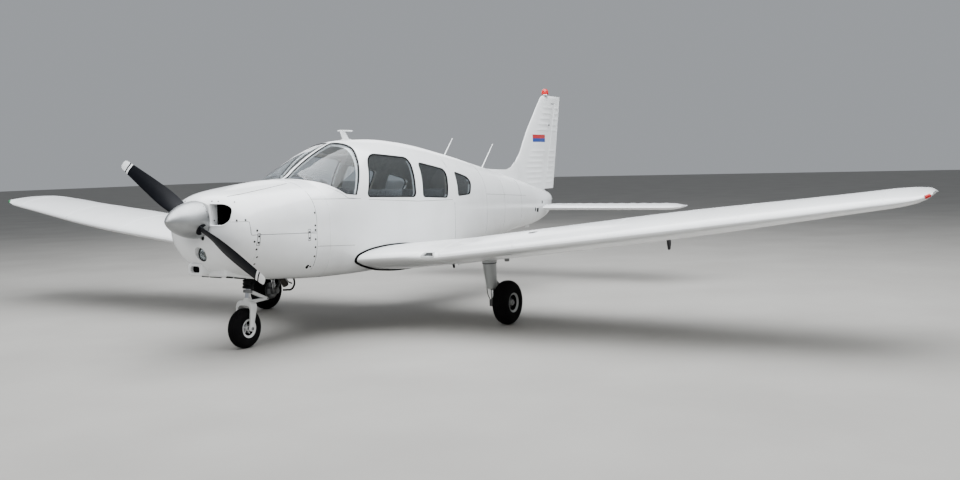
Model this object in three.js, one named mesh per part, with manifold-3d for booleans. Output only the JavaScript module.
// Single-engine low-wing light aircraft, four seats, fixed tricycle gear.
// Millimetres. Stations run along X from the main axle (x = 0), nose toward +X, port toward +Y,
// height from the ground along Z. FRAME_X moves the stations to the middle of the whole length.

import * as THREE from 'three';
import { mergeVertices } from 'three/addons/utils/BufferGeometryUtils.js';
import Module from 'manifold-3d';

const wasm = await Module();
wasm.setup();

// Driving dimensions
const NOSE_TIP = 2843;
const TAIL_TIP = -4440;
const FRAME_X = -(NOSE_TIP + TAIL_TIP) / 2;
const HALF_SPAN = 5335;
const GAP = 0.4;
const MOVING_GAP = 7;
const SKIN = 8;
const CABIN_WALL = 35;
const PANE = 6;
const FIREWALL_X = 1600;
const AFT_BULKHEAD_X = -1600;
const NOSE_BOWL_REAR_X = 2255;
const THRUST_Z = 1150;
const MAIN_TYRE_RADIUS = 212;
const NOSE_TYRE_RADIUS = 175;
const NOSE_AXLE_X = 1995;
const HALF_TRACK = 1524;

// Colours, roughness and metalness of each slot
const LOOK = {
  white: ['#eceeee', 0.3, 0.0],
  grey: ['#9aa0a3', 0.45, 0.1],
  steel: ['#b9bcc0', 0.3, 0.9],
  cast: ['#6d7072', 0.6, 0.6],
  black: ['#17181a', 0.5, 0.0],
  rubber: ['#1d1d1e', 0.85, 0.0],
  glass: ['#7f8f98', 0.05, 0.0],
  fabric: ['#7d7468', 0.9, 0.0],
  panel: ['#3a3b3d', 0.7, 0.0],
  red: ['#b3201c', 0.25, 0.0],
  green: ['#1f7d4a', 0.25, 0.0],
  lens: ['#e8ecee', 0.08, 0.0],
};

// Geometry helpers

function closedSolid(geometry) {
  const bare = geometry.clone();
  bare.deleteAttribute('normal');
  bare.deleteAttribute('uv');
  const merged = mergeVertices(bare, 1e-4);
  const points = merged.getAttribute('position').array;
  let corners = Uint32Array.from(merged.index.array);
  if (signedVolume(points, corners) < 0) {
    for (let i = 0; i < corners.length; i += 3) {
      [corners[i + 1], corners[i + 2]] = [corners[i + 2], corners[i + 1]];
    }
  }
  return new wasm.Manifold(new wasm.Mesh({
    numProp: 3, vertProperties: Float32Array.from(points), triVerts: corners,
  }));
}

function signedVolume(points, corners) {
  let sum = 0;
  const at = (i) => new THREE.Vector3(points[3 * i], points[3 * i + 1], points[3 * i + 2]);
  for (let i = 0; i < corners.length; i += 3) {
    sum += at(corners[i]).dot(at(corners[i + 1]).cross(at(corners[i + 2])));
  }
  return sum;
}

function loft(rings) {
  const around = rings[0].length;
  const position = [];
  const index = [];
  for (const ring of rings) for (const p of ring) position.push(p.x, p.y, p.z);
  for (let r = 0; r + 1 < rings.length; r++) {
    for (let i = 0; i < around; i++) {
      const a = r * around + i;
      const b = r * around + ((i + 1) % around);
      index.push(a, b, a + around, b, b + around, a + around);
    }
  }
  for (const end of [0, rings.length - 1]) {
    const middle = new THREE.Vector3();
    for (const p of rings[end]) middle.addScaledVector(p, 1 / around);
    const centre = position.length / 3;
    position.push(middle.x, middle.y, middle.z);
    for (let i = 0; i < around; i++) {
      const a = end * around + i;
      const b = end * around + ((i + 1) % around);
      if (end === 0) index.push(centre, b, a);
      else index.push(centre, a, b);
    }
  }
  const geometry = new THREE.BufferGeometry();
  geometry.setAttribute('position', new THREE.Float32BufferAttribute(position, 3));
  geometry.setIndex(index);
  return closedSolid(geometry);
}

function block(x, y, z) {
  const geometry = new THREE.BoxGeometry(x[1] - x[0], y[1] - y[0], z[1] - z[0]);
  geometry.translate((x[0] + x[1]) / 2, (y[0] + y[1]) / 2, (z[0] + z[1]) / 2);
  return closedSolid(geometry);
}

// Prism of a flat outline: 'side' outlines are (x, z) run along Y, 'plan' are (x, y) along Z,
// 'front' are (y, z) along X.
function prism(view, outline, from, to) {
  const shape = new THREE.Shape(outline.map(([u, v]) => new THREE.Vector2(u, v)));
  const geometry = new THREE.ExtrudeGeometry(shape, { depth: to - from, bevelEnabled: false });
  geometry.translate(0, 0, from);
  const axes = {
    side: [[1, 0, 0], [0, 0, 1], [0, 1, 0]],
    plan: [[1, 0, 0], [0, 1, 0], [0, 0, 1]],
    front: [[0, 1, 0], [0, 0, 1], [1, 0, 0]],
  }[view].map((axis) => new THREE.Vector3(...axis));
  geometry.applyMatrix4(new THREE.Matrix4().makeBasis(...axes));
  return closedSolid(geometry);
}

// Outline with each corner rounded: corners are [u, v, radius]
function rounded(corners, steps = 4) {
  const outline = [];
  corners.forEach(([u, v, radius], i) => {
    const here = new THREE.Vector2(u, v);
    const before = new THREE.Vector2(...corners.at(i - 1).slice(0, 2)).sub(here);
    const after = new THREE.Vector2(...corners[(i + 1) % corners.length].slice(0, 2)).sub(here);
    const reach = Math.min(radius, before.length() * 0.49, after.length() * 0.49);
    const start = here.clone().addScaledVector(before.normalize(), reach);
    const end = here.clone().addScaledVector(after.normalize(), reach);
    if (!radius) {
      outline.push([u, v]);
      return;
    }
    const curve = new THREE.QuadraticBezierCurve(start, here, end);
    for (const p of curve.getPoints(steps)) outline.push([p.x, p.y]);
  });
  return outline;
}

// Outline moved in toward its own middle by a distance, near enough for small gaps
function inset(outline, distance) {
  const turn = Math.sign(THREE.ShapeUtils.area(outline.map(([u, v]) => new THREE.Vector2(u, v))));
  return outline.map((corner, i) => {
    const here = new THREE.Vector2(...corner);
    const before = new THREE.Vector2(...outline.at(i - 1));
    const after = new THREE.Vector2(...outline[(i + 1) % outline.length]);
    const one = here.clone().sub(before).normalize();
    const two = after.clone().sub(here).normalize();
    const inward = new THREE.Vector2(-one.y - two.y, one.x + two.x).multiplyScalar(turn);
    const half = Math.max(0.3, inward.length() / 2);
    inward.normalize().multiplyScalar(distance / half);
    return [here.x + inward.x, here.y + inward.y];
  });
}

// Round bar, cone or disc between two points
function bar(from, to, radius, endRadius = radius, around = 12) {
  const a = new THREE.Vector3(...from);
  const b = new THREE.Vector3(...to);
  const length = a.distanceTo(b);
  const geometry = new THREE.CylinderGeometry(endRadius, radius, length, around);
  geometry.translate(0, length / 2, 0);
  const along = b.clone().sub(a).normalize();
  geometry.applyQuaternion(new THREE.Quaternion().setFromUnitVectors(new THREE.Vector3(0, 1, 0), along));
  geometry.translate(a.x, a.y, a.z);
  return closedSolid(geometry);
}

// Turned piece: profile of [radius, along] round an axis through a centre
function turned(profile, axis, centre, around) {
  const closed = profile.map(([r, s]) => new THREE.Vector2(r, s));
  closed.push(closed[0].clone());
  const geometry = new THREE.LatheGeometry(closed, around);
  geometry.applyQuaternion(new THREE.Quaternion().setFromUnitVectors(
    new THREE.Vector3(0, 1, 0), new THREE.Vector3(...axis)));
  geometry.translate(...centre);
  return closedSolid(geometry);
}

// Flat bar between two points in a vertical fore-and-aft plane, with a width across Y
function link(from, to, width, thickness, y) {
  const a = new THREE.Vector2(...from);
  const b = new THREE.Vector2(...to);
  const along = b.clone().sub(a).normalize();
  const across = new THREE.Vector2(-along.y, along.x).multiplyScalar(thickness / 2);
  const outline = [a.clone().add(across), a.clone().sub(across), b.clone().sub(across), b.clone().add(across)];
  return prism('side', outline.map((p) => [p.x, p.y]), y - width / 2, y + width / 2);
}

const join = (...solids) => solids.reduce((sum, next) => sum.add(next));
const above = (z) => block([-9000, 9000], [-9000, 9000], [z, 9000]);
const onSide = (side, y) => block([-9000, 9000], side > 0 ? [y, 9000] : [-9000, -y], [-9000, 9000]);

// Fuselage sections: height of top and bottom, half width, height of the widest place and the
// fullness of the curve over and under it
const FUSELAGE = [
  { x: 2500, top: 1300, bottom: 925, half: 235, wide: 1070, over: 2.2, under: 2.1 },
  { x: 2468, top: 1328, bottom: 842, half: 325, wide: 1065, over: 2.2, under: 2.1 },
  { x: 2410, top: 1357, bottom: 752, half: 398, wide: 1058, over: 2.2, under: 2.1 },
  { x: 2300, top: 1382, bottom: 688, half: 446, wide: 1050, over: 2.25, under: 2.2 },
  { x: 2100, top: 1407, bottom: 632, half: 478, wide: 1055, over: 2.3, under: 2.4 },
  { x: 1880, top: 1430, bottom: 597, half: 501, wide: 1060, over: 2.35, under: 2.9 },
  { x: 1600, top: 1452, bottom: 566, half: 522, wide: 1070, over: 2.45, under: 3.6 },
  { x: 1430, top: 1458, bottom: 555, half: 532, wide: 1075, over: 2.55, under: 4.2 },
  { x: 1250, top: 1556, bottom: 548, half: 540, wide: 1080, over: 2.6, under: 4.8 },
  { x: 1060, top: 1655, bottom: 545, half: 546, wide: 1085, over: 2.5, under: 5.4 },
  { x: 880, top: 1732, bottom: 542, half: 549, wide: 1090, over: 2.5, under: 5.8 },
  { x: 700, top: 1790, bottom: 541, half: 550, wide: 1090, over: 2.5, under: 6.0 },
  { x: 480, top: 1815, bottom: 540, half: 550, wide: 1090, over: 2.5, under: 6.0 },
  { x: 180, top: 1821, bottom: 540, half: 550, wide: 1090, over: 2.5, under: 6.0 },
  { x: -150, top: 1803, bottom: 540, half: 548, wide: 1090, over: 2.5, under: 6.0 },
  { x: -483, top: 1769, bottom: 540, half: 538, wide: 1088, over: 2.45, under: 5.6 },
  { x: -900, top: 1708, bottom: 543, half: 505, wide: 1085, over: 2.4, under: 4.8 },
  { x: -1250, top: 1655, bottom: 553, half: 463, wide: 1082, over: 2.35, under: 4.0 },
  { x: -1600, top: 1595, bottom: 574, half: 414, wide: 1078, over: 2.3, under: 3.5 },
  { x: -2218, top: 1488, bottom: 640, half: 318, wide: 1065, over: 2.2, under: 3.0 },
  { x: -2823, top: 1378, bottom: 702, half: 222, wide: 1050, over: 2.1, under: 2.8 },
  { x: -3400, top: 1266, bottom: 738, half: 134, wide: 1040, over: 2.1, under: 2.7 },
  { x: -3800, top: 1184, bottom: 802, half: 80, wide: 1040, over: 2.0, under: 2.5 },
  { x: -4020, top: 1130, bottom: 882, half: 45, wide: 1046, over: 2.0, under: 2.3 },
  { x: -4093, top: 1090, bottom: 955, half: 18, wide: 1050, over: 2.0, under: 2.1 },
];
const RING_POINTS = 24;

function between(table, key, at) {
  const rows = [...table].sort((a, b) => a[key] - b[key]);
  const place = THREE.MathUtils.clamp(at, rows[0][key], rows.at(-1)[key]);
  const next = rows.findIndex((row, i) => i > 0 && row[key] >= place);
  const low = rows[next - 1];
  const high = rows[next];
  const share = (place - low[key]) / (high[key] - low[key]);
  const mixed = {};
  for (const name of Object.keys(low)) mixed[name] = THREE.MathUtils.lerp(low[name], high[name], share);
  return mixed;
}

function fuselageRing(x, inward) {
  const row = between(FUSELAGE, 'x', x);
  const half = row.half - inward;
  return Array.from({ length: RING_POINTS }, (_, i) => {
    const angle = (2 * Math.PI * (i + 0.5)) / RING_POINTS;
    const across = Math.cos(angle);
    const up = Math.sin(angle);
    const full = up > 0 ? row.over : row.under;
    const rise = up > 0 ? row.top - inward - row.wide : row.wide - row.bottom - inward;
    return new THREE.Vector3(x,
      half * Math.sign(across) * Math.abs(across) ** (2 / full),
      row.wide + rise * Math.sign(up) * Math.abs(up) ** (2 / full));
  });
}

function fuselage(fromX, toX, inward = 0) {
  const stations = FUSELAGE.map((row) => row.x).filter((x) => x > fromX + 5 && x < toX - 5);
  return loft([toX, ...stations, fromX].map((x) => fuselageRing(x, inward)));
}

// Section of the flying surfaces: share of the chord, half thickness over the whole thickness, and
// height of the middle line over the chord
const SECTION = [
  { u: 0, half: 0, arch: 0 },
  { u: 0.0125, half: 0.113, arch: 0.0035 },
  { u: 0.04, half: 0.194, arch: 0.0064 },
  { u: 0.09, half: 0.29, arch: 0.0105 },
  { u: 0.16, half: 0.377, arch: 0.0144 },
  { u: 0.27, half: 0.462, arch: 0.0187 },
  { u: 0.4, half: 0.5, arch: 0.0214 },
  { u: 0.55, half: 0.448, arch: 0.0219 },
  { u: 0.7, half: 0.307, arch: 0.0196 },
  { u: 0.85, half: 0.135, arch: 0.0136 },
  { u: 0.94, half: 0.05, arch: 0.007 },
  { u: 1, half: 0.012, arch: 0 },
];

// Outline as [share of chord from the front, height over chord], round from the tail
function aerofoil(thick, arched) {
  const height = (row, way) => [row.u, arched * row.arch + way * thick * row.half];
  return [
    ...SECTION.slice(1).reverse().map((row) => height(row, 1)),
    [0, 0],
    ...SECTION.slice(1).map((row) => height(row, -1)),
  ];
}

// Wing sections: leading and trailing edge, height of the chord line at WING_REF_X, thickness
// ratio, incidence in degrees, and how far the nose of the section is lifted
const WING_REF_X = 220;
const WING = [
  { y: 440, front: 1088, rear: -805, z: 593, thick: 0.125, twist: 2.6, lift: 60 },
  { y: 560, front: 1060, rear: -805, z: 607, thick: 0.13, twist: 2.6, lift: 55 },
  { y: 900, front: 925, rear: -805, z: 649, thick: 0.143, twist: 2.3, lift: 38 },
  { y: 1250, front: 800, rear: -805, z: 692, thick: 0.15, twist: 2.0, lift: 0 },
  { y: 2900, front: 795, rear: -805, z: 895, thick: 0.15, twist: 1.4, lift: 0 },
  { y: 5000, front: 490, rear: -600, z: 1168, thick: 0.14, twist: -0.6, lift: 0 },
  { y: 5150, front: 466, rear: -600, z: 1188, thick: 0.125, twist: -0.8, lift: 0 },
  { y: 5230, front: 450, rear: -560, z: 1202, thick: 0.105, twist: -0.8, lift: 0 },
  { y: 5295, front: 430, rear: -340, z: 1224, thick: 0.085, twist: -0.8, lift: 0 },
  { y: HALF_SPAN, front: 392, rear: 40, z: 1243, thick: 0.05, twist: -0.8, lift: 0 },
];

function wingRing(side, y) {
  const row = between(WING, 'y', y);
  const chord = row.front - row.rear;
  const slope = Math.tan(THREE.MathUtils.degToRad(row.twist));
  return aerofoil(row.thick, 1).map(([u, w]) => {
    const x = row.front - u * chord;
    return new THREE.Vector3(x, side * y,
      row.z + (x - WING_REF_X) * slope + w * chord + row.lift * (1 - u) ** 3);
  });
}

function wingBody(side) {
  return loft(WING.map((row) => wingRing(side, row.y)));
}

// Foremost point of the wing section
function wingNose(side, y) {
  return wingRing(side, y)[SECTION.length - 1].toArray();
}

// Fresh air inlet above the wing's leading edge: half round, flat below
const AIR_INLET = { y: 1150, half: 50, low: 14, high: 44, deep: 80 };

function airInlet(side) {
  const [x, y, z] = wingNose(side, AIR_INLET.y);
  const { half, low, high, deep } = AIR_INLET;
  const outline = rounded([[y - half, z + low, 3], [y + half, z + low, 3], [y + half * 0.7, z + high, 16], [y - half * 0.7, z + high, 16]], 3);
  return prism('front', outline, x - deep, x + deep);
}

// Position lamp: a round glass on the outer end of the leading edge
const TIP_LAMP = { inner: 5287, outer: 5320, radius: 15, sunk: 2 };

function tipLamp(side, wing) {
  const spot = (at) => {
    const [x, y, z] = wingNose(side, at);
    return [x - TIP_LAMP.sunk, y, z];
  };
  return bar(spot(TIP_LAMP.inner), spot(TIP_LAMP.outer), TIP_LAMP.radius, TIP_LAMP.radius, 16)
    .subtract(wing).translate([GAP, 0, 0]);
}

// A hinged rear part of a flying surface. Its frame has Y along the hinge, X forward and Z up.
function hingeFrame(from, to, upward) {
  const origin = new THREE.Vector3(...from);
  const along = new THREE.Vector3(...to).sub(origin);
  const length = along.length();
  along.normalize();
  const forward = along.clone().cross(new THREE.Vector3(...upward)).normalize();
  if (forward.x < 0) forward.negate();
  const up = forward.clone().cross(along);
  const matrix = new THREE.Matrix4().makeBasis(forward, along, up).setPosition(origin);
  return { matrix, length };
}

function inFrame(frame, geometry) {
  return closedSolid(geometry.applyMatrix4(frame.matrix));
}

function hingedPart(frame, nose, grow) {
  const { length } = frame;
  const long = length + 2 * grow;
  const barrel = new THREE.CylinderGeometry(nose[1] + grow, nose[0] + grow, long, 16);
  barrel.translate(0, length / 2, 0);
  const rear = new THREE.BoxGeometry(900, long, 500);
  rear.translate(-450, length / 2, 0);
  return inFrame(frame, barrel).add(inFrame(frame, rear));
}

// Control surfaces of the wing: hinge ends as [x, y, z] on the port side and nose radius at each
const FLAP = { from: [-520, 640, 0], to: [-520, 2776, 0], nose: [41, 41] };
const AILERON = { from: [-548, 2792, 0], to: [-400, 4950, 0], nose: [38, 27] };

function surfaceFrame(part, side) {
  const turn = ([x, y, z]) => [x, side * y, z];
  return hingeFrame(turn(part.from), turn(part.to), [0, 0, 1]);
}

function surfaceHeights(part) {
  return ['from', 'to'].map((end) => {
    const [x, y] = part[end];
    const row = between(WING, 'y', y);
    const chord = row.front - row.rear;
    const share = (row.front - x) / chord;
    const slope = Math.tan(THREE.MathUtils.degToRad(row.twist));
    return row.z + (x - WING_REF_X) * slope + between(SECTION, 'u', share).arch * chord;
  });
}
for (const part of [FLAP, AILERON]) {
  const [inner, outer] = surfaceHeights(part);
  part.from[2] = inner;
  part.to[2] = outer;
}

// Round pad under the wing spar, with a flat lower face to jack or tie down by
const JACK_PAD = { x: 150, y: 1610, radius: 24, low: 624 };

function jackPad(side) {
  const { x, y, radius, low } = JACK_PAD;
  return bar([x, side * y, low], [x, side * y, low + 60], radius, radius, 16);
}

function wingPieces(side) {
  const whole = wingBody(side);
  const flapFrame = surfaceFrame(FLAP, side);
  const aileronFrame = surfaceFrame(AILERON, side);
  const flap = whole.intersect(hingedPart(flapFrame, FLAP.nose, 0));
  const aileron = whole.intersect(hingedPart(aileronFrame, AILERON.nose, 0));
  const body = fuselage(-3000, 2300, -GAP);
  const wing = whole.subtract(hingedPart(flapFrame, FLAP.nose, MOVING_GAP))
    .subtract(hingedPart(aileronFrame, AILERON.nose, MOVING_GAP))
    .subtract(body)
    .subtract(airInlet(side));
  return { wing: wing.add(jackPad(side)), flap, aileron };
}

// Fin and rudder sections at each height: front and rear edge, thickness
const FIN_TOP = 2440;
const FIN = [
  { z: 1120, front: -3040, rear: -4160, thick: 92 },
  { z: 1460, front: -3045, rear: -4232, thick: 84 },
  { z: 1560, front: -3085, rear: -4253, thick: 80 },
  { z: 1670, front: -3203, rear: -4277, thick: 78 },
  { z: 1908, front: -3375, rear: -4327, thick: 70 },
  { z: 2127, front: -3570, rear: -4373, thick: 62 },
  { z: 2385, front: -3815, rear: -4428, thick: 50 },
  { z: 2420, front: -3855, rear: -4436, thick: 40 },
  { z: FIN_TOP, front: -3900, rear: TAIL_TIP, thick: 18 },
];
// Fillet ahead of the fin: top and base height and half width at the base
const DORSAL = [
  { x: -2250, top: 1488, base: 1400, half: 10 },
  { x: -2330, top: 1484, base: 1340, half: 20 },
  { x: -2560, top: 1473, base: 1290, half: 30 },
  { x: -2830, top: 1466, base: 1230, half: 36 },
  { x: -2960, top: 1492, base: 1200, half: 38 },
  { x: -3075, top: 1556, base: 1180, half: 38 },
  { x: -3180, top: 1560, base: 1180, half: 30 },
];
const RUDDER = { from: [-3866, 0, 1178], to: [-4312.3, 0, 2465], nose: [23, 14] };
const RUDDER_FOOT_Z = 1190;
const HINGE_LEAN = (RUDDER.to[0] - RUDDER.from[0]) / (RUDDER.to[2] - RUDDER.from[2]);
const FIN_HOLLOW_TOP = 2300;
const HORN = { front: -4120, foot: 2345, gap: 16 };

function dorsalFillet() {
  return loft(DORSAL.map((row) => {
    const outline = [[-row.half, row.base], [row.half, row.base]];
    for (const [share, wide] of [[0.55, 0.8], [0.85, 0.5], [1, 0.2]]) {
      outline.push([row.half * wide, row.base + (row.top - row.base) * share]);
    }
    for (const [share, wide] of [[1, 0.2], [0.85, 0.5], [0.55, 0.8]]) {
      outline.push([-row.half * wide, row.base + (row.top - row.base) * share]);
    }
    return outline.map(([y, z]) => new THREE.Vector3(row.x, y, z));
  }));
}

function finBody() {
  return loft(FIN.map((row) => {
    const chord = row.front - row.rear;
    return aerofoil(row.thick / chord, 0).map(([u, w]) => new THREE.Vector3(row.front - u * chord, w * chord, row.z));
  }));
}

function tailPieces() {
  const whole = finBody();
  const frame = hingeFrame(RUDDER.from, RUDDER.to, [0, 1, 0]);
  const horn = block([-4700, HORN.front], [-200, 200], [HORN.foot, 2600]);
  const hornRoom = block([-4700, HORN.front + MOVING_GAP], [-200, 200], [HORN.foot - HORN.gap, 2600]);
  const cone = fuselage(-4093, -1500, -GAP);
  const rudder = whole.intersect(join(hingedPart(frame, RUDDER.nose, 0), horn)).intersect(above(RUDDER_FOOT_Z));
  const hollow = loft([1125, 1460, 1560, 1670, 1908, 2127, FIN_HOLLOW_TOP].map((z) => between(FIN, 'z', z)).map((row) => {
    const rear = RUDDER.from[0] + (row.z - RUDDER.from[2]) * HINGE_LEAN + 60;
    const chord = row.front - 20 - rear;
    return aerofoil((row.thick - 2 * SKIN) / chord, 0).map(([u, w]) => new THREE.Vector3(
      row.front - 20 - u * chord, w * chord, row.z));
  }));
  const fin = whole.subtract(join(hingedPart(frame, RUDDER.nose, MOVING_GAP + 1), hornRoom)).add(dorsalFillet())
    .subtract(cone).subtract(hollow);
  return { rudder, fin };
}

// All-moving tailplane
const STABILATOR_AXIS = { x: -3760, z: 945, tube: 34 };
const STABILATOR = [
  { y: 140, front: -3560, rear: -4330, thick: 0.105 },
  { y: 1790, front: -3560, rear: -4330, thick: 0.105 },
  { y: 1870, front: -3580, rear: -4260, thick: 0.1 },
  { y: 1940, front: -3630, rear: -4110, thick: 0.09 },
  { y: 1980, front: -3730, rear: -3930, thick: 0.08 },
];
const TAB = { x: -4195, z: 945, half: 1450, nose: 14 };
const TAB_GAP = 6;

function stabilatorHalf(side) {
  const hollow = loft([{ y: 130 }, { y: 1780 }].map((end) => aerofoil(66 / 560, 0).map(([u, w]) => new THREE.Vector3(
    STABILATOR[0].front - 12 - u * 560, side * end.y, STABILATOR_AXIS.z + w * 560))));
  return loft(STABILATOR.map((row) => {
    const chord = row.front - row.rear;
    return aerofoil(row.thick, 0).map(([u, w]) => new THREE.Vector3(
      row.front - u * chord, side * row.y, STABILATOR_AXIS.z + w * chord));
  })).subtract(hollow);
}

function tabPiece() {
  const row = STABILATOR[0];
  const chord = row.front - row.rear;
  const ring = (y) => aerofoil(row.thick, 0).map(([u, w]) => new THREE.Vector3(
    row.front - u * chord, y, STABILATOR_AXIS.z + w * chord));
  const slab = loft([ring(-TAB.half), ring(TAB.half)]);
  const frame = hingeFrame([TAB.x, -TAB.half, TAB.z], [TAB.x, TAB.half, TAB.z], [0, 0, 1]);
  return slab.intersect(hingedPart(frame, [TAB.nose, TAB.nose], 0));
}

function stabilatorPiece() {
  const frame = hingeFrame([TAB.x, -TAB.half, TAB.z], [TAB.x, TAB.half, TAB.z], [0, 0, 1]);
  const tube = bar([STABILATOR_AXIS.x, -260, STABILATOR_AXIS.z], [STABILATOR_AXIS.x, 260, STABILATOR_AXIS.z],
    STABILATOR_AXIS.tube, STABILATOR_AXIS.tube, 16);
  return join(stabilatorHalf(1), stabilatorHalf(-1))
    .subtract(hingedPart(frame, [TAB.nose, TAB.nose], TAB_GAP)).add(tube);
}

// Side windows as [x, z, corner radius]
const WINDOWS = {
  front: [[868, 1270, 45], [62, 1238, 45], [8, 1628, 60], [586, 1672, 90], [706, 1606, 60]],
  middle: [[-72, 1232, 32], [-560, 1204, 38], [-655, 1497, 90], [-128, 1578, 40]],
  rear: [[-815, 1212, 26], [-1125, 1222, 32], [-1208, 1350, 44], [-1135, 1410, 40], [-850, 1470, 30]],
};
const WINDSHIELD = [
  [1450, 1475], [1392, 1440], [1330, 1408], [1240, 1352], [1165, 1308], [1020, 1292],
  [899, 1478], [785, 1655], [724, 1740], [702, 1830], [1300, 1830],
];
const CENTRE_STRIP = 18;
// Door outlines as [x, z, corner radius, taper, half width]: the edge away from the hinge leans in
// by the taper for each millimetre inward from the skin, so the door swings out past its frame
const DOOR = [
  [982, 880, 40, 0, 548], [982, 1262, 60, 0, 548], [738, 1660, 60, 0, 400], [715, 1700, 30, 0, 350],
  [-42, 1664, 50, 0.32, 400], [-2, 880, 50, 0.1, 548],
];
const BAGGAGE = [
  [-880, 800, 40, 0, 505], [-880, 1165, 40, 0, 505], [-1390, 1140, 40, 0.3, 440], [-1390, 800, 40, 0.3, 430],
];
const DOORWAY_GAP = 7;
const DOORWAY_OUTSIDE = 620;
const DOORWAY_INSIDE = 220;

function doorway(corners, grow) {
  const ring = (y) => inset(rounded(corners.map(([x, z, radius, taper, half]) => [
    x + taper * (half - y), z, radius])), -grow).map(([x, z]) => new THREE.Vector3(x, -y, z));
  return loft([ring(DOORWAY_OUTSIDE), ring(DOORWAY_INSIDE)]);
}

const windowHole = (name) => rounded(WINDOWS[name]);

function pane(outline, side, depth = PANE) {
  const outer = fuselage(-1500, 1500, 3);
  const inner = fuselage(-1500, 1500, 3 + depth);
  const cut = prism('side', inset(outline, GAP), side > 0 ? 0 : -900, side > 0 ? 900 : 0);
  return outer.subtract(inner).intersect(cut);
}

function windshieldPane(side) {
  const outer = fuselage(600, 1560, 3);
  const inner = fuselage(600, 1560, 3 + PANE);
  const cut = prism('side', inset(WINDSHIELD, GAP), -900, 900);
  return outer.subtract(inner).intersect(cut).intersect(onSide(side, CENTRE_STRIP + GAP));
}

function cabinShell() {
  let shell = fuselage(AFT_BULKHEAD_X, FIREWALL_X - GAP).subtract(fuselage(AFT_BULKHEAD_X + 25, FIREWALL_X - 25, CABIN_WALL));
  for (const side of [1, -1]) {
    const glass = prism('side', WINDSHIELD, -900, 900).intersect(onSide(side, CENTRE_STRIP));
    shell = shell.subtract(glass);
    for (const name of ['middle', 'rear']) {
      shell = shell.subtract(prism('side', windowHole(name), side > 0 ? 0 : -900, side > 0 ? 900 : 0));
    }
  }
  shell = shell.subtract(prism('side', windowHole('front'), 0, 900));
  return shell.subtract(doorway(DOOR, DOORWAY_GAP)).subtract(doorway(BAGGAGE, DOORWAY_GAP));
}

function doorPanel(outline, hole) {
  const wall = fuselage(-1550, 1500, 0).subtract(fuselage(-1540, 1490, CABIN_WALL));
  const panel = wall.intersect(doorway(outline, 0));
  return hole ? panel.subtract(prism('side', hole, -900, 0)) : panel;
}

const TIE_DOWN_Z = 700;

function tailCone() {
  const outer = fuselage(-4093, AFT_BULKHEAD_X - GAP);
  const inner = fuselage(-3400, AFT_BULKHEAD_X + 10, SKIN);
  const tube = bar([STABILATOR_AXIS.x, -300, STABILATOR_AXIS.z], [STABILATOR_AXIS.x, 300, STABILATOR_AXIS.z],
    STABILATOR_AXIS.tube + MOVING_GAP, STABILATOR_AXIS.tube + MOVING_GAP, 20);
  const tieDown = block([-3420, -3330], [-7, 7], [TIE_DOWN_Z, 800]);
  return outer.add(tieDown).subtract(inner).subtract(tube);
}

// Cowling
const COWL_NOSE_X = 2500;
const INLET = [[158, 1098, 14], [158, 1282, 14], [262, 1282, 75], [334, 1240, 60], [334, 1140, 60], [275, 1098, 50]];
const SCOOP = { y: [-184, -36], z: [684, 780], x: [2290, 2432] };
const SCOOP_SLOT = [[-156, 704, 22], [-156, 757, 22], [-60, 757, 22], [-60, 704, 22]];
const LANDING_LIGHT = { z: 861, radius: 57, cup: 66, x: 2428, thick: 16 };
const NOSE_GEAR_DOORWAY = rounded([[1830, -90, 50], [1830, 90, 50], [2040, 90, 50], [2040, -90, 50]]);
const COWL_OUTLET = rounded([[1590, -215, 0], [1590, 215, 0], [1735, 215, 40], [1735, -215, 40]]);
// Lower edge of the upper cowl in side view, with the step where its side panel begins
const COWL_SEAM = [[1500, 978], [1816, 996], [2330, 1018], [2344, 1130], [2600, 1134]];
// Chin round the nose leg: half width and lowest height
const CHIN = [
  { x: 2350, half: 132, low: 676 },
  { x: 2334, half: 148, low: 662 },
  { x: 1990, half: 165, low: 608 },
  { x: 1770, half: 165, low: 584 },
];

function aboveSeam(gap) {
  return prism('side', [...COWL_SEAM.map(([x, z]) => [x + gap, z - gap]), [2600, 1900], [1500, 1900]], -900, 900);
}

function chin() {
  const rings = CHIN.map(({ x, half, low }) => rounded(
    [[-half, 800, 0], [half, 800, 0], [half, low, 40], [-half, low, 40]]).map(([y, z]) => new THREE.Vector3(x, y, z)));
  return loft(rings).subtract(fuselage(FIREWALL_X, COWL_NOSE_X, SKIN / 2));
}

function lightCup() {
  const { z, radius, cup, x } = LANDING_LIGHT;
  return bar([x - 6, 0, z], [COWL_NOSE_X, 0, z], cup, cup, 24).subtract(
    bar([x - 10, 0, z], [COWL_NOSE_X + 10, 0, z], radius + GAP, radius + GAP, 24))
    .intersect(fuselage(FIREWALL_X, COWL_NOSE_X));
}

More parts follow.
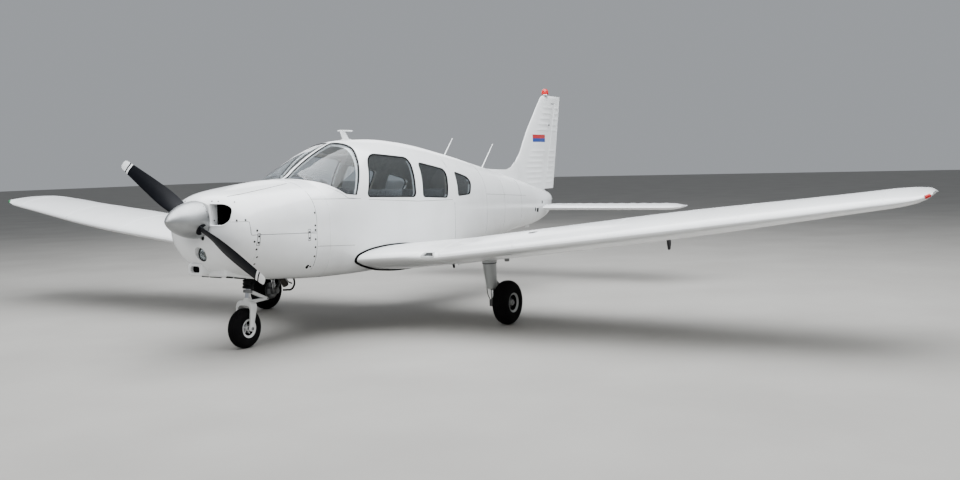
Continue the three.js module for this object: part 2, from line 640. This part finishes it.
function cowls() {
  const starboard = INLET.map(([y, z, r]) => [-y, z, r]).reverse();
  const scoop = prism('front', rounded([
    [SCOOP.y[0], SCOOP.z[0], 30], [SCOOP.y[0], SCOOP.z[1], 30], [SCOOP.y[1], SCOOP.z[1], 30], [SCOOP.y[1], SCOOP.z[0], 30],
  ]), ...SCOOP.x);
  const { z, radius } = LANDING_LIGHT;
  const shell = fuselage(FIREWALL_X + GAP, COWL_NOSE_X).subtract(fuselage(FIREWALL_X - 10, COWL_NOSE_X - SKIN, SKIN))
    .add(chin())
    .subtract(prism('front', rounded(INLET), 2310, 2600))
    .subtract(prism('front', rounded(starboard), 2310, 2600))
    .subtract(bar([2300, 0, THRUST_Z], [2600, 0, THRUST_Z], 62, 62, 24))
    .subtract(bar([2400, 0, z], [2600, 0, z], radius + GAP, radius + GAP, 24))
    .add(join(scoop, lightCup()))
    .subtract(prism('front', rounded(SCOOP_SLOT), SCOOP.x[0] - 10, SCOOP.x[1] + 10))
    .subtract(prism('plan', NOSE_GEAR_DOORWAY, 400, 800))
    .subtract(prism('plan', COWL_OUTLET, 400, 800));
  const upper = shell.intersect(aboveSeam(0));
  const below = shell.subtract(aboveSeam(GAP));
  const front = block([NOSE_BOWL_REAR_X, 2600], [-900, 900], [0, 1900]);
  const behind = block([1500, NOSE_BOWL_REAR_X - GAP], [-900, 900], [0, 1900]);
  return { upper, lower: below.intersect(behind), bowl: below.intersect(front) };
}

function landingLight() {
  const { z, radius, x, thick } = LANDING_LIGHT;
  return bar([x, 0, z], [x + thick, 0, z], radius, radius, 24);
}

function engineBlock() {
  return block([1700, 2260], [-375, 375], [850, 1215])
    .add(bar([2200, 0, THRUST_Z], [2412, 0, THRUST_Z], 75, 75, 16));
}

// Propeller and spinner
const PROP_X = 2566;
const PROP_RADIUS = 902;
const PROP_TILT = THREE.MathUtils.degToRad(31.8);
const PROP_PITCH = 1520;
const BLADE = [
  { r: 30, chord: 100, thick: 56 },
  { r: 110, chord: 100, thick: 44 },
  { r: 200, chord: 108, thick: 30 },
  { r: 330, chord: 122, thick: 21 },
  { r: 520, chord: 128, thick: 15 },
  { r: 700, chord: 113, thick: 11 },
  { r: 820, chord: 95, thick: 8 },
  { r: 878, chord: 82, thick: 6 },
  { r: 896, chord: 64, thick: 5 },
  { r: PROP_RADIUS, chord: 36, thick: 4 },
];
const SPINNER_RADIUS = 157;
const SPINNER_REAR_X = 2512;

function bladeFrame(turn) {
  const out = new THREE.Vector3(0, -Math.cos(PROP_TILT) * turn, Math.sin(PROP_TILT) * turn);
  const forward = new THREE.Vector3(1, 0, 0);
  const travel = forward.clone().cross(out).normalize();
  return { out, forward, travel };
}

function blade(turn) {
  const { out, forward, travel } = bladeFrame(turn);
  return loft(BLADE.map((row) => {
    const angle = Math.min(THREE.MathUtils.degToRad(52), Math.atan(PROP_PITCH / (2 * Math.PI * row.r)));
    const along = travel.clone().multiplyScalar(Math.cos(angle)).addScaledVector(forward, Math.sin(angle));
    const normal = forward.clone().multiplyScalar(Math.cos(angle)).addScaledVector(travel, -Math.sin(angle));
    return aerofoil(row.thick / row.chord, 1).map(([u, w]) => new THREE.Vector3(PROP_X, 0, THRUST_Z)
      .addScaledVector(out, row.r)
      .addScaledVector(along, (0.45 - u) * row.chord)
      .addScaledVector(normal, w * row.chord));
  }));
}

function propeller() {
  const boss = bar([SPINNER_REAR_X + 4 + GAP, 0, THRUST_Z], [2606, 0, THRUST_Z], 66, 66, 24);
  const shaft = bar([2421, 0, THRUST_Z], [SPINNER_REAR_X + 10, 0, THRUST_Z], 40, 40, 20);
  return join(boss, shaft, blade(1), blade(-1));
}

function spinner() {
  const steps = 7;
  const length = NOSE_TIP - SPINNER_REAR_X;
  const outer = Array.from({ length: steps }, (_, i) => {
    const share = Math.sin((Math.PI / 2) * (i / (steps - 1)));
    return [SPINNER_RADIUS * (1 - share ** 1.75) ** 0.72, length * share];
  });
  const wall = 4;
  const inner = outer.slice(0, -1).map(([r, s]) => [Math.max(r - wall, 1), Math.min(s, length - 12)]);
  const profile = [[70, 0], ...outer.slice(0, -1), [0, length], [0, length - wall * 2], ...inner.slice(1).reverse(),
    [inner[0][0], wall], [70, wall]];
  let dome = turned(profile, [1, 0, 0], [SPINNER_REAR_X, 0, THRUST_Z], 24);
  for (const turn of [1, -1]) {
    const { out, forward, travel } = bladeFrame(turn);
    const gapBox = new THREE.BoxGeometry(112, 128, 180);
    gapBox.translate(0, 0, 160);
    gapBox.applyMatrix4(new THREE.Matrix4().makeBasis(forward, travel, out).setPosition(PROP_X + 4, 0, THRUST_Z));
    dome = dome.subtract(closedSolid(gapBox));
  }
  return dome;
}

// Landing gear
const WHEEL_AROUND = 24;
const TYRE_PROFILE = [[0.0, 0.74], [0.36, 1.0], [0.72, 0.9], [0.93, 0.55], [1.0, 0.18]];

function tyre(centre, bead, radius, half, around) {
  const ring = TYRE_PROFILE.map(([out, wide]) => [bead + out * (radius - bead), wide * half]);
  const profile = [...ring.map(([r, w]) => [r, -w]), ...ring.reverse()];
  return turned(profile, [0, 1, 0], centre, around);
}

function hub(centre, bead, half, bore, around) {
  const rim = bead - GAP;
  const profile = [[bore, -half * 0.75], [bead * 0.46, -half * 0.75], [bead * 0.62, -half * 0.3],
    [rim, -half * 0.66], [rim, half * 0.66], [bead * 0.62, half * 0.3], [bead * 0.46, half * 0.75], [bore, half * 0.75]];
  return turned(profile, [0, 1, 0], centre, around);
}

const MAIN = { bead: 82, half: 78, bore: 19, axle: 17.5, leg: 1390, piston: 42 };
const NOSE = { bead: 68, half: 62, bore: 14, axle: 12.5 };
const BRAKE = { radius: 92, neck: 42, near: 56, inner: 78, outer: 84, caliper: 1433 };

// Main wheel with the brake disc that it carries on its leg's side
function mainHub(side) {
  const z = MAIN_TYRE_RADIUS;
  const y = (inward) => side * (HALF_TRACK - inward);
  return hub([0, side * HALF_TRACK, z], MAIN.bead, MAIN.half, MAIN.bore, WHEEL_AROUND)
    .add(bar([0, y(BRAKE.near), z], [0, y(BRAKE.inner + 1), z], BRAKE.neck, BRAKE.neck, WHEEL_AROUND))
    .add(bar([0, y(BRAKE.inner), z], [0, y(BRAKE.outer), z], BRAKE.radius, BRAKE.radius, WHEEL_AROUND))
    .subtract(bar([0, y(BRAKE.near - 8), z], [0, y(BRAKE.outer + 8), z], MAIN.bore, MAIN.bore, WHEEL_AROUND));
}

// Oval leg sections from the wing down: height, middle, half length and half width
const MAIN_LEG = [
  { z: 760, x: 110, long: 92, wide: 57 },
  { z: 620, x: 101, long: 86, wide: 54 },
  { z: 350, x: 58, long: 61, wide: 42 },
];

function mainLeg(side, wing) {
  const ring = (row) => Array.from({ length: 20 }, (_, i) => {
    const angle = (2 * Math.PI * i) / 20;
    return new THREE.Vector3(row.x + row.long * Math.cos(angle), side * MAIN.leg + row.wide * Math.sin(angle), row.z);
  });
  const upperLink = link([20, 428], [-98, 352], 34, 16, side * MAIN.leg);
  return loft(MAIN_LEG.map(ring)).subtract(wing).subtract(above(735)).translate([0, 0, -GAP]).add(upperLink);
}

function mainAxle(side) {
  const y = (value) => side * value;
  const z = MAIN_TYRE_RADIUS;
  const foot = 350 - 2 * GAP;
  const pivot = [-112, 343];
  return join(
    bar([MAIN.piston, y(MAIN.leg), z - 30], [MAIN.piston, y(MAIN.leg), foot], 26, 26, 16),
    bar([0, y(MAIN.leg - 32), z], [0, y(MAIN.leg + 32), z], 34, 34, 16),
    block([0, MAIN.piston + 20], side > 0 ? [MAIN.leg - 24, MAIN.leg + 24] : [-MAIN.leg - 24, -MAIN.leg + 24],
      [z - 34, z + 24]),
    bar([0, y(MAIN.leg), z], [0, y(HALF_TRACK + 66), z], MAIN.axle, MAIN.axle, 16),
    link([-10, z + 8], pivot, 34, 16, y(MAIN.leg)),
    bar([pivot[0], y(MAIN.leg - 24), pivot[1]], [pivot[0], y(MAIN.leg + 24), pivot[1]], 11, 11, 12),
    block([58, 104], side > 0 ? [MAIN.leg - 12, BRAKE.caliper] : [-BRAKE.caliper, -MAIN.leg + 12], [z - 34, z + 34]),
  );
}

// Steering axis: through the nose axle, leaning aft as it rises
const RAKE = THREE.MathUtils.degToRad(10.5);
const alongSteer = (s, forward = 0) => [
  NOSE_AXLE_X - s * Math.sin(RAKE) + forward * Math.cos(RAKE),
  NOSE_TYRE_RADIUS + s * Math.cos(RAKE) + forward * Math.sin(RAKE),
];
const steerPoint = (s, y = 0, forward = 0) => {
  const [x, z] = alongSteer(s, forward);
  return [x, y, z];
};
const LEG_FOOT = 341;

function noseLeg() {
  return join(
    bar(steerPoint(LEG_FOOT + 76), steerPoint(640), 36, 36, 16),
    bar(steerPoint(LEG_FOOT), steerPoint(LEG_FOOT + 80), 50, 56, 16),
    bar(steerPoint(LEG_FOOT + 44, -58), steerPoint(LEG_FOOT + 44, 58), 22, 22, 12),
    block([FIREWALL_X + GAP, 1892], [-60, 60], [735, 795]),
  );
}

function noseFork() {
  const legs = [1, -1].map((side) => prism('side', [
    alongSteer(-14, 16), alongSteer(-14, -16), alongSteer(110, -34), alongSteer(232, -38),
    alongSteer(232, 38), alongSteer(110, 34),
  ], side > 0 ? 70 : -90, side > 0 ? 90 : -70).add(
    bar(steerPoint(0, side * 70), steerPoint(0, side * 92), 24, 24, 16)));
  const crown = prism('side', [
    alongSteer(196, -38), alongSteer(196, 38), alongSteer(238, 34), alongSteer(238, -34),
  ], -90, 90);
  const apex = [1705, 399];
  return join(
    ...legs, crown,
    bar(steerPoint(0, -100), steerPoint(0, 100), NOSE.axle, NOSE.axle, 16),
    bar(steerPoint(230), steerPoint(LEG_FOOT - 1), 24, 24, 16),
    bar(steerPoint(304), steerPoint(LEG_FOOT - 6), 42, 42, 16),
    link(alongSteer(222, -20), apex, 44, 18, 0),
    link(apex, alongSteer(320, -30), 44, 18, 0),
    bar([apex[0], -30, apex[1]], [apex[0], 30, apex[1]], 14, 14, 12),
  );
}

// Cabin
const INNER = () => fuselage(AFT_BULKHEAD_X + 26, FIREWALL_X - 26, CABIN_WALL + GAP);

function cabinFloor() {
  return INNER().intersect(block([-1560, 1560], [-600, 600], [500, 640]));
}

function instrumentPanel() {
  const board = INNER().intersect(prism('side', [
    [1120, 1010], [1150, 1010], [1185, 1150], [1185, 1290], [1225, 1330], [1120, 1330], [1075, 1345], [1060, 1330], [1100, 1290],
  ], -600, 600));
  const yokes = [1, -1].map((side) => {
    const y = 255 * side;
    const wheel = prism('front', rounded([
      [y - 150, 1120, 30], [y - 120, 1100, 20], [y + 120, 1100, 20], [y + 150, 1120, 30], [y + 150, 1250, 20],
      [y + 118, 1250, 20], [y + 112, 1160, 20], [y - 112, 1160, 20], [y - 118, 1250, 20], [y - 150, 1250, 20],
    ], 2), 925, 953);
    return bar([940, y, 1130], [1150, y, 1130], 14, 14, 12).add(wheel);
  });
  return join(board, ...yokes, block([1000, 1140], [-40, 40], [1030, 1090]), block([1090, 1150], [-70, 70], [641, 1030]));
}

// A seat is a cushion on its box and a back that stands on its rear edge. Both are side outlines.
const SEAT_TOP_Z = 872;

function seatCushion(x, y, width, depth) {
  const outline = rounded([
    [x - 60, 641, 10], [x + depth * 0.9, 641, 10], [x + depth, 800, 30], [x + depth + 8, SEAT_TOP_Z + 30, 40],
    [x - 72, SEAT_TOP_Z, 10],
  ], 3);
  return prism('side', outline, y - width / 2, y + width / 2);
}

function seatBack(x, y, width, height) {
  const outline = rounded([
    [x - 66, SEAT_TOP_Z + 4, 10], [x + 50, SEAT_TOP_Z + 10, 20], [x - 92, height, 45], [x - 190, height - 12, 50],
  ], 3);
  return prism('side', outline, y - width / 2, y + width / 2);
}

// Small pieces outside
function roofAntenna() {
  const mast = prism('side', [[405, 1812], [500, 1812], [545, 1902], [482, 1902]], -7, 7);
  const plate = block([360, 562], [-30, 30], [1900, 1912]);
  return mast.add(plate).subtract(fuselage(100, 700, -GAP));
}

// Whip that leans aft from its foot on the spine
function whip(x, height, lean) {
  const foot = between(FUSELAGE, 'x', x).top;
  return bar([x, 0, foot - 20], [x - lean, 0, foot + height], 8, 4, 10)
    .add(bar([x, 0, foot - 30], [x, 0, foot + 9], 24, 18, 12))
    .subtract(fuselage(x - 400, x + 300, -GAP));
}

function beacon() {
  return turned([[0, 0], [52, 0], [52, 24], [46, 62], [28, 86], [0, 94]], [0, 0, 1], [-3985, 0, FIN_TOP + GAP], 20);
}

function pitotMast(wing) {
  return prism('side', rounded([[-360, 900, 0], [-470, 900, 0], [-470, 760, 0], [-455, 713, 6], [-425, 708, 6], [-400, 760, 0]], 2), 2991, 3009)
    .subtract(wing).translate([0, 0, -GAP]);
}

function boardingStep() {
  return join(
    bar([-960, -330, 640], [-985, -395, 415], 14, 14, 12),
    block([-1030, -930], [-470, -360], [400, 420]),
  ).subtract(fuselage(-1500, -500, -GAP));
}

function exhaustPipe() {
  const pipe = join(
    bar([1735, 150, 760], [1640, 150, 565], 29, 29, 20),
    bar([1660, 150, 592], [1612, 150, 512], 29, 29, 20),
  );
  return pipe.subtract(bar([1657, 150, 587], [1606, 150, 502], 25, 25, 20));
}

// Assembly
const aircraft = new THREE.Group();
aircraft.name = 'light_aircraft';

function place(name, solid, look) {
  const mesh = solid.getMesh();
  const geometry = new THREE.BufferGeometry();
  geometry.setAttribute('position', new THREE.BufferAttribute(Float32Array.from(mesh.vertProperties), 3));
  geometry.setIndex(new THREE.BufferAttribute(Uint32Array.from(mesh.triVerts), 1));
  geometry.translate(FRAME_X, 0, 0);
  const [color, roughness, metalness] = LOOK[look];
  const piece = new THREE.Mesh(geometry, new THREE.MeshStandardMaterial({ color, roughness, metalness }));
  piece.name = name;
  aircraft.add(piece);
}

const { upper, lower, bowl } = cowls();
const { rudder, fin } = tailPieces();

place('cabin_shell', cabinShell(), 'white');
place('tail_cone', tailCone(), 'white');
place('nose_bowl', bowl, 'white');
place('upper_cowl', upper, 'white');
place('lower_cowl', lower, 'white');
place('engine_block', engineBlock(), 'cast');
place('landing_light', landingLight(), 'lens');
place('exhaust_pipe', exhaustPipe(), 'steel');

for (const [side, name] of [[1, 'left'], [-1, 'right']]) {
  const { wing, flap, aileron } = wingPieces(side);
  place(`wing_${name}`, wing, 'white');
  place(`flap_${name}`, flap, 'white');
  place(`aileron_${name}`, aileron, 'white');
  place(`main_leg_${name}`, mainLeg(side, wing), 'grey');
  place(`main_axle_${name}`, mainAxle(side), 'steel');
  const centre = [0, side * HALF_TRACK, MAIN_TYRE_RADIUS];
  place(`main_tyre_${name}`, tyre(centre, MAIN.bead, MAIN_TYRE_RADIUS, MAIN.half, WHEEL_AROUND), 'rubber');
  place(`main_hub_${name}`, mainHub(side), 'grey');
  place(`windshield_${name}`, windshieldPane(side), 'glass');
  for (const window of ['middle', 'rear']) {
    place(`window_${window}_${name}`, pane(windowHole(window), side), 'glass');
  }
  place(`seat_front_${name}`, seatCushion(300, side * 246, 405, 440), 'fabric');
  place(`seat_back_${name}`, seatBack(300, side * 246, 405, 1340), 'fabric');
  place(`tip_lamp_${name}`, tipLamp(side, wing), side > 0 ? 'red' : 'green');
  if (side > 0) place('pitot_mast', pitotMast(wing), 'white');
}
place('window_front_left', pane(windowHole('front'), 1), 'glass');
place('door_window', pane(windowHole('front'), -1), 'glass');
place('cabin_door', doorPanel(DOOR, windowHole('front')), 'white');
place('baggage_door', doorPanel(BAGGAGE), 'white');

place('cabin_floor', cabinFloor(), 'fabric');
place('instrument_panel', instrumentPanel(), 'panel');
place('rear_bench', seatCushion(-560, 0, 850, 430), 'fabric');
place('rear_bench_back', seatBack(-560, 0, 850, 1320), 'fabric');

place('fin', fin, 'white');
place('rudder', rudder, 'white');
place('beacon', beacon(), 'red');
place('stabilator', stabilatorPiece(), 'white');
place('stabilator_tab', tabPiece(), 'white');
place('roof_antenna', roofAntenna(), 'white');
place('whip_antenna_front', whip(-1345, 208, 210), 'white');
place('whip_antenna_rear', whip(-2205, 295, 300), 'white');
place('boarding_step', boardingStep(), 'grey');

place('nose_leg', noseLeg(), 'steel');
place('nose_fork', noseFork(), 'white');
const noseCentre = steerPoint(0);
place('nose_tyre', tyre(noseCentre, NOSE.bead, NOSE_TYRE_RADIUS, NOSE.half, WHEEL_AROUND), 'rubber');
place('nose_hub', hub(noseCentre, NOSE.bead, NOSE.half, NOSE.bore, WHEEL_AROUND), 'grey');
place('propeller', propeller(), 'black');
place('spinner', spinner(), 'steel');

export default aircraft;
